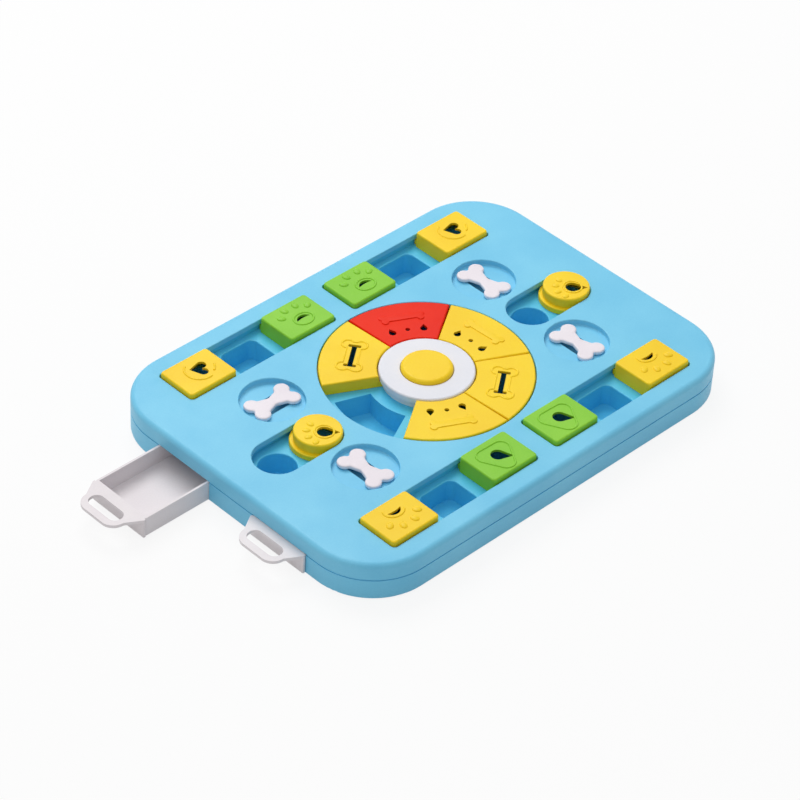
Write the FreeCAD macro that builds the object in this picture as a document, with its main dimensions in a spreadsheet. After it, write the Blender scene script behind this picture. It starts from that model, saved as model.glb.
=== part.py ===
import FreeCAD, Part
import math
import os
import Sketcher

# Dog puzzle feeder: a flat two-shell toy board with sliding covers, a turning wheel of
# wedge covers, lift-out bones, a squeak button and two treat drawers.
# Frame: +Z up, feet on z = 0, +X along the long side and away from the drawers.
# All sizes are millimetres.

doc = FreeCAD.newDocument("dog_puzzle_feeder")
sheet = doc.addObject("Spreadsheet::Sheet", "Sizes")

SIZES = {
    # Casing
    "shell_length": 400,
    "shell_width": 293,
    "corner_radius": 53,
    "shell_wall": 2.5,
    "base_height": 18.5,
    "base_floor": 2,
    "base_edge_round": 1.5,
    "seam_groove_depth": 0.7,
    "seam_groove_height": 1.2,
    "cover_height": 14,
    "cover_plate": 4.5,
    "cover_edge_round": 4.5,
    "opening_round": 0.7,
    # Feet and case screws
    "foot_radius": 7,
    "middle_foot_radius": 9,
    "foot_height": 2,
    "foot_recess": 0.5,
    "foot_x": 166,
    "foot_y": 112,
    "middle_foot_y": 104,
    "boss_x": 177,
    "boss_y": 88.5,
    "middle_boss_y": 126,
    "boss_radius": 4.6,
    "screw_radius": 1.5,
    "screw_head_radius": 3,
    "screw_head_height": 2.2,
    "screw_bite": 6,
    "screw_slack": 0.2,
    "pilot_slack": 0.05,
    "head_sink": 0.8,
    # Straight tracks, their trays and the block sliders
    "track_y": 109.5,
    "track_middle_x": 84.1,
    "track_width": 39.2,
    "slot_pitch": 51,
    "slider_length": 47.2,
    "slider_width": 37.8,
    "slider_corner": 3.5,
    "slider_rise": 3.5,
    "slider_draft": 2.5,
    "slider_top_round": 1.5,
    "slider_wall": 2,
    "slider_rail": 1.8,
    "rail_height": 4.5,
    "running_gap": 0.3,
    "track_end_gap": 0.4,
    "tray_drop": 10,
    "tray_plate": 2,
    "tray_wall": 1.2,
    "tray_side_gap": 0.5,
    "well_length": 34.8,
    "well_width": 31,
    "well_corner": 6,
    "well_wall": 1.6,
    "well_edge_round": 1,
    # Round tracks and round sliders
    "round_middle_x": 133.75,
    "round_pitch": 40.5,
    "round_track_width": 38.6,
    "round_slider_radius": 18.7,
    "round_foot_radius": 21.6,
    "foot_round": 1.2,
    "round_well_radius": 15,
    # Wheel
    "wheel_radius": 84,
    "wheel_first_angle": 183,
    "wedge_angle": 59.1,
    "wedge_rim_gap": 0.9,
    "wedge_rail": 1.9,
    "wedge_rise": 0.6,
    "wedge_top_round": 1.2,
    "wedge_wall": 2,
    "wheel_well_inner": 46.5,
    "wheel_well_outer": 76.5,
    "wheel_well_angle": 46,
    # Hub ring, button and squeaker
    "hub_radius": 37.3,
    "hub_rise": 1.2,
    "hub_round": 1.6,
    "hub_lip": 5,
    "hub_screw_circle": 29.5,
    "button_radius": 20.4,
    "button_gap": 0.5,
    "button_rise": 4.6,
    "button_round": 3.2,
    "button_flange": 2.3,
    "button_flange_height": 2.4,
    "button_travel": 4,
    "button_wall": 2,
    "bellows_radius": 14,
    "reed_radius": 15.5,
    "reed_height": 3,
    # Bone dishes and bones
    "dish_x": 113,
    "dish_y": 50.9,
    "dish_radius": 25.5,
    "dish_depth": 4.7,
    "dish_wall": 1.2,
    "dish_plate": 2,
    "dish_round": 1,
    "bone_well_length": 36,
    "bone_well_width": 17,
    "bone_well_depth": 6.4,
    "bone_length": 47,
    "bone_span": 28.5,
    "bone_waist": 13,
    "bone_knob": 7.2,
    "bone_height": 5.4,
    # Drawers
    "drawer_y": 52.3,
    "drawer_width": 56,
    "drawer_length": 84,
    "drawer_wall": 1.8,
    "drawer_corner": 1.4,
    "drawer_floor": 1.6,
    "drawer_side_gap": 0.4,
    "drawer_top_gap": 0.4,
    "bay_floor": 1,
    "bay_wall": 1.2,
    "drawer_pull": 61,
    "panel_thickness": 2,
    "panel_overlap": 0.8,
    "handle_reach": 24,
    "handle_width": 42,
    "handle_corner": 11,
    "handle_height": 2.6,
    "handle_bar": 6,
    "handle_hole_start": 5.5,
    "handle_hole_width": 33,
    # Finger holes in the covers
    "heart_lobe": 3.9,
    "heart_tip": 10.2,
    "crescent_chord": 13,
    "crescent_outer": 6.9,
    "crescent_inner": 24,
    "leaf_radius": 5.6,
    "leaf_tip": 12.2,
    "heart_x": 4.6,
    "heart_y": 1,
    "paw_hole_x": 1.8,
    "paw_hole_y": 4.8,
    "moon_hole_x": 1.2,
    "moon_hole_y": 7.5,
    "bar_hole_circle": 58.7,
    "bar_hole_length": 27,
    "bar_hole_width": 4,
    "bar_hole_lean": 4,
    "bar_end_length": 10,
    "bar_end_width": 3,
    "wedge_hole_circle": 50,
    "wedge_hole_angle": 14.6,
    "wedge_hole_radius": 2.9,
    "wedge_hole_tip": 5.3,
    "wedge_mid_hole_radius": 1.9,
}

for row, (alias, number) in enumerate(SIZES.items(), start=1):
    sheet.set("A%d" % row, alias)
    sheet.set("B%d" % row, str(number))
    sheet.setAlias("B%d" % row, alias)
doc.recompute()

# Heights that several pieces share, as expressions of the sheet's sizes.
S = "Sizes."
BASE_Z = "(Sizes.foot_height - Sizes.foot_recess)"
FLOOR_Z = "(%s + Sizes.base_floor)" % BASE_Z
SEAM_Z = "(%s + Sizes.base_height)" % BASE_Z
TOP_Z = "(%s + Sizes.cover_height)" % SEAM_Z
PLATE_Z = "(%s - Sizes.cover_plate)" % TOP_Z
TRAY_Z = "(%s - Sizes.tray_drop)" % TOP_Z
COVER_Z = "(%s + Sizes.running_gap)" % TRAY_Z
DISH_Z = "(%s - Sizes.dish_depth)" % TOP_Z
BAY_Z = "(%s + Sizes.bay_floor)" % BASE_Z
TRAY_INSIDE = "(Sizes.slider_width + 2 * Sizes.slider_rail + 2 * Sizes.tray_side_gap)"
TRACK_LENGTH = "(2 * Sizes.slot_pitch + Sizes.slider_length + 2 * Sizes.track_end_gap)"
WEDGE_RADIUS = "(Sizes.wheel_radius - Sizes.wedge_rim_gap)"
WHEEL_INSIDE = "(%s + Sizes.wedge_rail + Sizes.tray_side_gap)" % WEDGE_RADIUS
HUB_NECK = "(Sizes.hub_radius - Sizes.wedge_rail - Sizes.tray_side_gap)"

parts = []


def new_body(label):
    """A body whose label names the part's file."""
    body = doc.addObject("PartDesign::Body", label)
    body.Label = label
    parts.append(body)
    return body


def move_body(body, x="0", y="0", z="0", angle=None):
    """Place a body by expressions of the sheet."""
    if angle is not None:
        body.Placement = FreeCAD.Placement(
            FreeCAD.Vector(0, 0, 0), FreeCAD.Rotation(FreeCAD.Vector(0, 0, 1), 10)
        )
        body.setExpression("Placement.Rotation.Angle", angle)
    body.setExpression("Placement.Base.x", x)
    body.setExpression("Placement.Base.y", y)
    body.setExpression("Placement.Base.z", z)


def origin_feature(body, role):
    """One of the body's own origin planes or axes."""
    for feature in body.Origin.OriginFeatures:
        if feature.Role == role:
            return feature
    raise ValueError(role)


def new_sketch(body, name, x="0", y="0", z="0", turn=None):
    """A sketch parallel to the body's XY plane, moved by expressions."""
    sketch = body.newObject("Sketcher::SketchObject", body.Label + "_" + name)
    sketch.AttachmentSupport = [(origin_feature(body, "XY_Plane"), "")]
    sketch.MapMode = "FlatFace"
    if turn is not None:
        sketch.AttachmentOffset = FreeCAD.Placement(
            FreeCAD.Vector(0, 0, 0), FreeCAD.Rotation(FreeCAD.Vector(0, 0, 1), 10)
        )
        sketch.setExpression(".AttachmentOffset.Rotation.Angle", turn)
    sketch.setExpression(".AttachmentOffset.Base.x", x)
    sketch.setExpression(".AttachmentOffset.Base.y", y)
    sketch.setExpression(".AttachmentOffset.Base.z", z)
    return sketch


def bind(sketch, constraint, name, expression):
    """Add a named driving constraint and bind it to the sheet."""
    index = sketch.addConstraint(constraint)
    sketch.renameConstraint(index, name)
    sketch.setExpression("Constraints." + name, expression)


def circle(body, name, radius, x="0", y="0", z="0"):
    """A sketch of one circle."""
    sketch = new_sketch(body, name, x, y, z)
    ring = Part.Circle(FreeCAD.Vector(0, 0, 0), FreeCAD.Vector(0, 0, 1), 5)
    sketch.addGeometry(ring)
    sketch.addConstraint(Sketcher.Constraint("Coincident", 0, 3, -1, 1))
    bind(sketch, Sketcher.Constraint("Radius", 0, 5), "radius", radius)
    return sketch


def rounded_rectangle(body, name, length, width, radius, x="0", y="0", z="0", turn=None):
    """A sketch of one rectangle with four round corners, centred on the given place."""
    sketch = new_sketch(body, name, x, y, z, turn)
    half_x, half_y, corner = 15.0, 10.0, 3.0
    signs = [(1, 1), (-1, 1), (-1, -1), (1, -1)]
    for number, (sx, sy) in enumerate(signs):
        centre = FreeCAD.Vector(sx * (half_x - corner), sy * (half_y - corner), 0)
        ring = Part.Circle(centre, FreeCAD.Vector(0, 0, 1), corner)
        start = number * math.pi / 2
        sketch.addGeometry(Part.ArcOfCircle(ring, start, start + math.pi / 2))
    for number in range(4):
        first = sketch.getPoint(number, 2)
        second = sketch.getPoint((number + 1) % 4, 1)
        sketch.addGeometry(Part.LineSegment(first, second))
    for number in range(4):
        line = 4 + number
        following = (number + 1) % 4
        sketch.addConstraint(Sketcher.Constraint("Tangent", number, 2, line, 1))
        sketch.addConstraint(Sketcher.Constraint("Tangent", line, 2, following, 1))
    for number in range(1, 4):
        sketch.addConstraint(Sketcher.Constraint("Equal", 0, number))
    for line in (4, 6):
        sketch.addConstraint(Sketcher.Constraint("Horizontal", line))
        sketch.addConstraint(Sketcher.Constraint("Vertical", line + 1))
    sketch.addConstraint(Sketcher.Constraint("Symmetric", 0, 3, 2, 3, -1, 1))
    bind(sketch, Sketcher.Constraint("Radius", 0, corner), "radius", radius)
    across = Sketcher.Constraint("DistanceX", 1, 3, 0, 3, 2 * (half_x - corner))
    bind(sketch, across, "across", "%s - 2 * %s" % (length, radius))
    along = Sketcher.Constraint("DistanceY", 2, 3, 1, 3, 2 * (half_y - corner))
    bind(sketch, along, "along", "%s - 2 * %s" % (width, radius))
    return sketch


def capsule(body, name, pitch, radius, x="0", y="0", z="0", turn=None):
    """A sketch of a slot with round ends, its two centres one pitch apart along X."""
    sketch = new_sketch(body, name, x, y, z, turn)
    right = Part.Circle(FreeCAD.Vector(10, 0, 0), FreeCAD.Vector(0, 0, 1), 5)
    left = Part.Circle(FreeCAD.Vector(-10, 0, 0), FreeCAD.Vector(0, 0, 1), 5)
    sketch.addGeometry(Part.ArcOfCircle(right, -math.pi / 2, math.pi / 2))
    sketch.addGeometry(Part.ArcOfCircle(left, math.pi / 2, 3 * math.pi / 2))
    sketch.addGeometry(Part.LineSegment(FreeCAD.Vector(10, 5, 0), FreeCAD.Vector(-10, 5, 0)))
    sketch.addGeometry(Part.LineSegment(FreeCAD.Vector(-10, -5, 0), FreeCAD.Vector(10, -5, 0)))
    sketch.addConstraint(Sketcher.Constraint("Tangent", 0, 2, 2, 1))
    sketch.addConstraint(Sketcher.Constraint("Tangent", 2, 2, 1, 1))
    sketch.addConstraint(Sketcher.Constraint("Tangent", 1, 2, 3, 1))
    sketch.addConstraint(Sketcher.Constraint("Tangent", 3, 2, 0, 1))
    sketch.addConstraint(Sketcher.Constraint("Horizontal", 2))
    sketch.addConstraint(Sketcher.Constraint("Equal", 0, 1))
    sketch.addConstraint(Sketcher.Constraint("Symmetric", 0, 3, 1, 3, -1, 1))
    bind(sketch, Sketcher.Constraint("Radius", 0, 5), "radius", radius)
    bind(sketch, Sketcher.Constraint("DistanceX", 1, 3, 0, 3, 20), "pitch", pitch)
    return sketch


def taper_plate(body, name, wide, narrow, reach, x="0", z="0"):
    """A sketch of a four-sided plate that narrows towards -X from a wide end at x."""
    sketch = new_sketch(body, name, x, "0", z)
    corners = [(0, 28), (0, -28), (-13, -21), (-13, 21)]
    points = [FreeCAD.Vector(px, py, 0) for px, py in corners]
    for number in range(4):
        sketch.addGeometry(Part.LineSegment(points[number], points[(number + 1) % 4]))
    for number in range(4):
        following = (number + 1) % 4
        sketch.addConstraint(Sketcher.Constraint("Coincident", number, 2, following, 1))
    sketch.addConstraint(Sketcher.Constraint("PointOnObject", 0, 1, -2))
    sketch.addConstraint(Sketcher.Constraint("Symmetric", 0, 1, 0, 2, -1))
    sketch.addConstraint(Sketcher.Constraint("Symmetric", 2, 1, 2, 2, -1))
    bind(sketch, Sketcher.Constraint("DistanceY", 0, 2, 0, 1, 56), "wide", wide)
    bind(sketch, Sketcher.Constraint("DistanceY", 2, 1, 2, 2, 42), "narrow", narrow)
    bind(sketch, Sketcher.Constraint("DistanceX", 2, 1, 0, 2, 13), "reach", reach)
    return sketch


def sector(body, name, inner, outer, angle, z="0", turn=None):
    """A sketch of a ring sector about the origin, halved by the X axis."""
    sketch = new_sketch(body, name, "0", "0", z, turn)
    half = math.radians(25)
    up = FreeCAD.Vector(0, 0, 1)
    centre = FreeCAD.Vector(0, 0, 0)
    sketch.addGeometry(Part.ArcOfCircle(Part.Circle(centre, up, 80), -half, half))
    sketch.addGeometry(Part.ArcOfCircle(Part.Circle(centre, up, 40), -half, half))
    sketch.addGeometry(Part.LineSegment(sketch.getPoint(1, 1), sketch.getPoint(0, 1)))
    sketch.addGeometry(Part.LineSegment(sketch.getPoint(1, 2), sketch.getPoint(0, 2)))
    for arc in (0, 1):
        sketch.addConstraint(Sketcher.Constraint("Coincident", arc, 3, -1, 1))
    for line, end in ((2, 1), (3, 2)):
        sketch.addConstraint(Sketcher.Constraint("Coincident", line, 1, 1, end))
        sketch.addConstraint(Sketcher.Constraint("Coincident", line, 2, 0, end))
        sketch.addConstraint(Sketcher.Constraint("PointOnObject", -1, 1, line))
    sketch.addConstraint(Sketcher.Constraint("Symmetric", 0, 1, 0, 2, -1))
    bind(sketch, Sketcher.Constraint("Radius", 0, 80), "outer", outer)
    bind(sketch, Sketcher.Constraint("Radius", 1, 40), "inner", inner)
    bind(sketch, Sketcher.Constraint("Angle", 2, 1, 3, 1, 2 * half), "angle", angle)
    return sketch


def teardrop(body, name, radius, tip, x="0", y="0", z="0", turn=None):
    """A sketch of a round hole drawn out to a point along +X."""
    sketch = new_sketch(body, name, x, y, z, turn)
    ring = Part.Circle(FreeCAD.Vector(0, 0, 0), FreeCAD.Vector(0, 0, 1), 4)
    lean = math.acos(0.5)
    sketch.addGeometry(Part.ArcOfCircle(ring, lean, 2 * math.pi - lean))
    point = FreeCAD.Vector(8, 0, 0)
    sketch.addGeometry(Part.LineSegment(sketch.getPoint(0, 1), point))
    sketch.addGeometry(Part.LineSegment(sketch.getPoint(0, 2), point))
    sketch.addConstraint(Sketcher.Constraint("Coincident", 0, 3, -1, 1))
    sketch.addConstraint(Sketcher.Constraint("Coincident", 1, 2, 2, 2))
    sketch.addConstraint(Sketcher.Constraint("Tangent", 0, 1, 1, 1))
    sketch.addConstraint(Sketcher.Constraint("Tangent", 0, 2, 2, 1))
    sketch.addConstraint(Sketcher.Constraint("PointOnObject", 1, 2, -1))
    bind(sketch, Sketcher.Constraint("Radius", 0, 4), "radius", radius)
    bind(sketch, Sketcher.Constraint("DistanceX", -1, 1, 1, 2, 8), "tip", tip)
    return sketch


def heart(body, name, lobe, tip, x="0", y="0", z="0", turn=None):
    """A sketch of a heart: two round lobes that meet, and a point along +X."""
    sketch = new_sketch(body, name, x, y, z, turn)
    up = FreeCAD.Vector(0, 0, 1)
    upper = Part.Circle(FreeCAD.Vector(0, 3, 0), up, 3)
    lower = Part.Circle(FreeCAD.Vector(0, -3, 0), up, 3)
    sketch.addGeometry(Part.ArcOfCircle(upper, math.radians(40), math.radians(270)))
    sketch.addGeometry(Part.ArcOfCircle(lower, math.radians(90), math.radians(320)))
    point = FreeCAD.Vector(9, 0, 0)
    sketch.addGeometry(Part.LineSegment(sketch.getPoint(0, 1), point))
    sketch.addGeometry(Part.LineSegment(sketch.getPoint(1, 2), point))
    sketch.addConstraint(Sketcher.Constraint("Coincident", 0, 2, 1, 1))
    sketch.addConstraint(Sketcher.Constraint("Coincident", 0, 2, -1, 1))
    sketch.addConstraint(Sketcher.Constraint("Symmetric", 0, 3, 1, 3, -1))
    sketch.addConstraint(Sketcher.Constraint("PointOnObject", 0, 3, -2))
    sketch.addConstraint(Sketcher.Constraint("Tangent", 0, 1, 2, 1))
    sketch.addConstraint(Sketcher.Constraint("Tangent", 1, 2, 3, 1))
    sketch.addConstraint(Sketcher.Constraint("Coincident", 2, 2, 3, 2))
    sketch.addConstraint(Sketcher.Constraint("PointOnObject", 2, 2, -1))
    bind(sketch, Sketcher.Constraint("Radius", 0, 3), "lobe", lobe)
    bind(sketch, Sketcher.Constraint("DistanceX", -1, 1, 2, 2, 9), "tip", tip)
    return sketch


def crescent(body, name, chord, outer, inner, x="0", y="0", z="0", turn=None):
    """A sketch of a half moon: two arcs on one chord, both bulging towards -Y."""
    sketch = new_sketch(body, name, x, y, z, turn)
    up = FreeCAD.Vector(0, 0, 1)
    for radius in (7.0, 13.0):
        drop = math.sqrt(radius**2 - 36)
        lean = math.atan2(drop, 6)
        ring = Part.Circle(FreeCAD.Vector(0, drop, 0), up, radius)
        sketch.addGeometry(Part.ArcOfCircle(ring, math.pi + lean, 2 * math.pi - lean))
    sketch.addConstraint(Sketcher.Constraint("Coincident", 0, 1, 1, 1))
    sketch.addConstraint(Sketcher.Constraint("Coincident", 0, 2, 1, 2))
    sketch.addConstraint(Sketcher.Constraint("PointOnObject", 0, 1, -1))
    sketch.addConstraint(Sketcher.Constraint("PointOnObject", 0, 2, -1))
    sketch.addConstraint(Sketcher.Constraint("PointOnObject", 0, 3, -2))
    bind(sketch, Sketcher.Constraint("DistanceX", 0, 1, 0, 2, 12), "chord", chord)
    bind(sketch, Sketcher.Constraint("Radius", 0, 7), "outer", outer)
    bind(sketch, Sketcher.Constraint("Radius", 1, 13), "inner", inner)
    return sketch


def pad(body, sketch, height, taper=None):
    """Raise a sketch along +Z by an expression."""
    feature = body.newObject("PartDesign::Pad", sketch.Name + "_pad")
    feature.Profile = sketch
    feature.setExpression("Length", height)
    if taper is not None:
        feature.setExpression("TaperAngle", taper)
    sketch.Visibility = False
    return feature


def pocket(body, sketch, depth, upwards=False):
    """Cut a sketch down along -Z, or up along +Z, by an expression."""
    feature = body.newObject("PartDesign::Pocket", sketch.Name + "_cut")
    feature.Profile = sketch
    feature.Reversed = upwards
    feature.setExpression("Length", depth)
    sketch.Visibility = False
    return feature


def polar_copies(body, features, count):
    """Repeat features evenly about the body's Z axis."""
    pattern = body.newObject("PartDesign::PolarPattern", features[0].Name + "_copies")
    pattern.Originals = features
    pattern.Axis = (origin_feature(body, "Z_Axis"), [""])
    pattern.Angle = 360
    pattern.Occurrences = count
    body.Tip = pattern
    return pattern


def number_of(alias):
    """The present value of one cell."""
    return float(sheet.get(alias))


def edges_at(feature, height, keep=None):
    """Names of the feature's edges that lie in the plane z = height."""
    names = []
    for number, edge in enumerate(feature.Shape.Edges, start=1):
        box = edge.BoundBox
        if abs(box.ZMin - height) > 0.01 or abs(box.ZMax - height) > 0.01:
            continue
        if keep is not None and not keep(edge):
            continue
        names.append("Edge%d" % number)
    return names


def round_edges(body, radius, height, keep=None):
    """Fillet the tip's edges at one height."""
    doc.recompute()
    feature = body.Tip
    names = edges_at(feature, height, keep)
    if not names:
        raise ValueError("no edge to round on " + body.Label)
    fillet = body.newObject("PartDesign::Fillet", body.Label + "_round")
    fillet.Base = (feature, names)
    fillet.setExpression("Radius", radius)
    doc.recompute()
    return fillet


BUTTON_ROOM = "(Sizes.button_radius + Sizes.button_flange + 2 * Sizes.button_gap)"

base_z = number_of("foot_height") - number_of("foot_recess")
floor_z = base_z + number_of("base_floor")
seam_z = base_z + number_of("base_height")
top_z = seam_z + number_of("cover_height")
dish_z = top_z - number_of("dish_depth")
tray_z = top_z - number_of("tray_drop")

TRACK_PLACES = [
    ("track_a", "Sizes.track_middle_x", "Sizes.track_y"),
    ("track_b", "-Sizes.track_middle_x", "Sizes.track_y"),
    ("track_c", "Sizes.track_middle_x", "-Sizes.track_y"),
    ("track_d", "-Sizes.track_middle_x", "-Sizes.track_y"),
]
ROUND_PLACES = [
    ("round_far", "Sizes.round_middle_x"),
    ("round_near", "-Sizes.round_middle_x"),
]
DISH_PLACES = [
    ("bone_1", "-Sizes.dish_x", "Sizes.dish_y", "0"),
    ("bone_2", "Sizes.dish_x", "Sizes.dish_y", "90"),
    ("bone_3", "Sizes.dish_x", "-Sizes.dish_y", "90"),
    ("bone_4", "-Sizes.dish_x", "-Sizes.dish_y", "90"),
]
BOSS_PLACES = [
    ("boss_nw", "-Sizes.boss_x", "Sizes.boss_y"),
    ("boss_ne", "Sizes.boss_x", "Sizes.boss_y"),
    ("boss_se", "Sizes.boss_x", "-Sizes.boss_y"),
    ("boss_sw", "-Sizes.boss_x", "-Sizes.boss_y"),
    ("boss_n", "0", "Sizes.middle_boss_y"),
    ("boss_s", "0", "-Sizes.middle_boss_y"),
]
FOOT_PLACES = [
    ("foot_middle", "0", "0", "middle_foot_radius"),
    ("foot_nw", "-Sizes.foot_x", "Sizes.foot_y", "foot_radius"),
    ("foot_ne", "Sizes.foot_x", "Sizes.foot_y", "foot_radius"),
    ("foot_se", "Sizes.foot_x", "-Sizes.foot_y", "foot_radius"),
    ("foot_sw", "-Sizes.foot_x", "-Sizes.foot_y", "foot_radius"),
    ("foot_n", "0", "Sizes.middle_foot_y", "foot_radius"),
    ("foot_s", "0", "-Sizes.middle_foot_y", "foot_radius"),
]


def build_base():
    """Lower casing: floor, wall, drawer bays, screw posts and foot recesses."""
    body = new_body("base_shell")
    outline = rounded_rectangle(
        body, "outline", S + "shell_length", S + "shell_width", S + "corner_radius", z=BASE_Z
    )
    pad(body, outline, "Sizes.base_height - Sizes.seam_groove_height")
    round_edges(body, S + "base_edge_round", base_z)
    groove_floor = rounded_rectangle(
        body,
        "groove_floor",
        "(Sizes.shell_length - 2 * Sizes.seam_groove_depth)",
        "(Sizes.shell_width - 2 * Sizes.seam_groove_depth)",
        "(Sizes.corner_radius - Sizes.seam_groove_depth)",
        z="%s - 2 * Sizes.seam_groove_height" % SEAM_Z,
    )
    pad(body, groove_floor, "2 * Sizes.seam_groove_height")
    inside = rounded_rectangle(
        body,
        "inside",
        "(Sizes.shell_length - 2 * Sizes.shell_wall)",
        "(Sizes.shell_width - 2 * Sizes.shell_wall)",
        "(Sizes.corner_radius - Sizes.shell_wall)",
        z=SEAM_Z,
    )
    pocket(body, inside, "Sizes.base_height - Sizes.base_floor")
    for name, x, y in BOSS_PLACES:
        post = circle(body, name, S + "boss_radius", x, y, FLOOR_Z)
        pad(body, post, "Sizes.base_height - Sizes.base_floor")
    bay_width = "(Sizes.drawer_width + 2 * Sizes.drawer_side_gap)"
    bay_length = "(Sizes.drawer_length + Sizes.running_gap)"
    for name, sign in (("left", ""), ("right", "-")):
        y = sign + "Sizes.drawer_y"
        guide = rounded_rectangle(
            body,
            "guide_" + name,
            "(%s + Sizes.bay_wall - Sizes.shell_wall / 2)" % bay_length,
            "(%s + 2 * Sizes.bay_wall)" % bay_width,
            "Sizes.bay_wall",
            x="-Sizes.shell_length / 2 + (%s + Sizes.bay_wall + Sizes.shell_wall / 2) / 2"
            % bay_length,
            y=y,
            z=BAY_Z,
        )
        pad(body, guide, "Sizes.base_height - Sizes.bay_floor")
        bay = rounded_rectangle(
            body,
            "bay_" + name,
            "(%s + Sizes.corner_radius)" % bay_length,
            bay_width,
            "Sizes.running_gap",
            x="-Sizes.shell_length / 2 + (%s - Sizes.corner_radius) / 2" % bay_length,
            y=y,
            z=SEAM_Z,
        )
        pocket(body, bay, "Sizes.base_height - Sizes.bay_floor")
    for name, x, y in BOSS_PLACES:
        bore = circle(
            body, "bore_" + name, "Sizes.screw_radius + Sizes.screw_slack", x, y, SEAM_Z
        )
        pocket(body, bore, "Sizes.base_height + 1")
        sink = circle(
            body, "sink_" + name, "Sizes.screw_head_radius + Sizes.screw_slack", x, y, BASE_Z
        )
        pocket(body, sink, "Sizes.screw_head_height + Sizes.head_sink", upwards=True)
    for name, x, y, radius in FOOT_PLACES:
        seat = circle(body, name, "Sizes.%s + Sizes.screw_slack" % radius, x, y, BASE_Z)
        pocket(body, seat, S + "foot_recess", upwards=True)


def build_cover():
    """Upper casing: plate with the track, wheel and dish openings, and screw posts."""
    body = new_body("top_shell")
    outline = rounded_rectangle(
        body, "outline", S + "shell_length", S + "shell_width", S + "corner_radius", z=SEAM_Z
    )
    pad(body, outline, S + "cover_height")
    round_edges(body, S + "cover_edge_round", top_z)
    inside = rounded_rectangle(
        body,
        "inside",
        "(Sizes.shell_length - 2 * Sizes.shell_wall)",
        "(Sizes.shell_width - 2 * Sizes.shell_wall)",
        "(Sizes.corner_radius - Sizes.shell_wall)",
        z=SEAM_Z,
    )
    pocket(body, inside, "Sizes.cover_height - Sizes.cover_plate", upwards=True)
    for name, x, y in BOSS_PLACES:
        post = circle(body, name, S + "boss_radius", x, y, SEAM_Z)
        pad(body, post, "Sizes.cover_height - Sizes.cover_plate")
        pilot = circle(
            body, "pilot_" + name, "Sizes.screw_radius + Sizes.pilot_slack", x, y, SEAM_Z
        )
        pocket(body, pilot, "Sizes.screw_bite + 1", upwards=True)
    for name, x, y, turn in DISH_PLACES:
        seat = circle(
            body,
            name + "_seat",
            "Sizes.dish_radius + Sizes.dish_wall",
            x,
            y,
            "%s - Sizes.dish_plate" % DISH_Z,
        )
        pad(body, seat, "Sizes.dish_plate + Sizes.dish_depth - Sizes.cover_plate / 2")
        cup = capsule(
            body,
            name + "_cup",
            "Sizes.bone_well_length - Sizes.bone_well_width",
            "Sizes.bone_well_width / 2 + Sizes.well_wall",
            x,
            y,
            "%s - Sizes.bone_well_depth - Sizes.well_wall" % DISH_Z,
            turn,
        )
        pad(body, cup, "Sizes.bone_well_depth + Sizes.well_wall - Sizes.dish_plate / 2")
        dish = circle(body, name + "_dish", S + "dish_radius", x, y, TOP_Z)
        pocket(body, dish, S + "dish_depth")
        well = capsule(
            body,
            name + "_well",
            "Sizes.bone_well_length - Sizes.bone_well_width",
            "Sizes.bone_well_width / 2",
            x,
            y,
            DISH_Z,
            turn,
        )
        pocket(body, well, S + "bone_well_depth")
    for name, x, y in TRACK_PLACES:
        track = rounded_rectangle(
            body, name, TRACK_LENGTH, S + "track_width", S + "slider_corner", x, y, TOP_Z
        )
        pocket(body, track, "Sizes.cover_plate + 1")
    for name, x in ROUND_PLACES:
        slot = capsule(
            body, name, S + "round_pitch", "Sizes.round_track_width / 2", x, "0", TOP_Z
        )
        pocket(body, slot, "Sizes.cover_plate + 1")
    wheel = circle(body, "wheel", S + "wheel_radius", z=TOP_Z)
    pocket(body, wheel, "Sizes.cover_plate + 1")
    limit = number_of("shell_length") / 2 - 2 * number_of("cover_edge_round")
    round_edges(
        body,
        S + "opening_round",
        top_z,
        keep=lambda edge: max(abs(edge.BoundBox.XMin), abs(edge.BoundBox.XMax)) < limit
        and max(abs(edge.BoundBox.YMin), abs(edge.BoundBox.YMax))
        < number_of("shell_width") / 2 - 2 * number_of("cover_edge_round"),
    )
    dish_edge = number_of("dish_radius")
    round_edges(
        body,
        S + "dish_round",
        dish_z,
        keep=lambda edge: edge.BoundBox.DiagonalLength > 1.9 * dish_edge,
    )


def build_feet():
    """Soft pads in the base's recesses, one node."""
    body = new_body("rubber_feet")
    for name, x, y, radius in FOOT_PLACES:
        foot = circle(body, name, S + radius, x, y)
        pad(body, foot, S + "foot_height")


def build_case_screws():
    """Six screws that hold the two shells together, one node."""
    body = new_body("case_screws")
    head_z = "%s + Sizes.head_sink" % BASE_Z
    for name, x, y in BOSS_PLACES:
        head = circle(body, "head_" + name, S + "screw_head_radius", x, y, head_z)
        pad(body, head, S + "screw_head_height")
        shank = circle(body, "shank_" + name, S + "screw_radius", x, y, head_z)
        pad(body, shank, "Sizes.base_height - Sizes.head_sink + Sizes.screw_bite")


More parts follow.
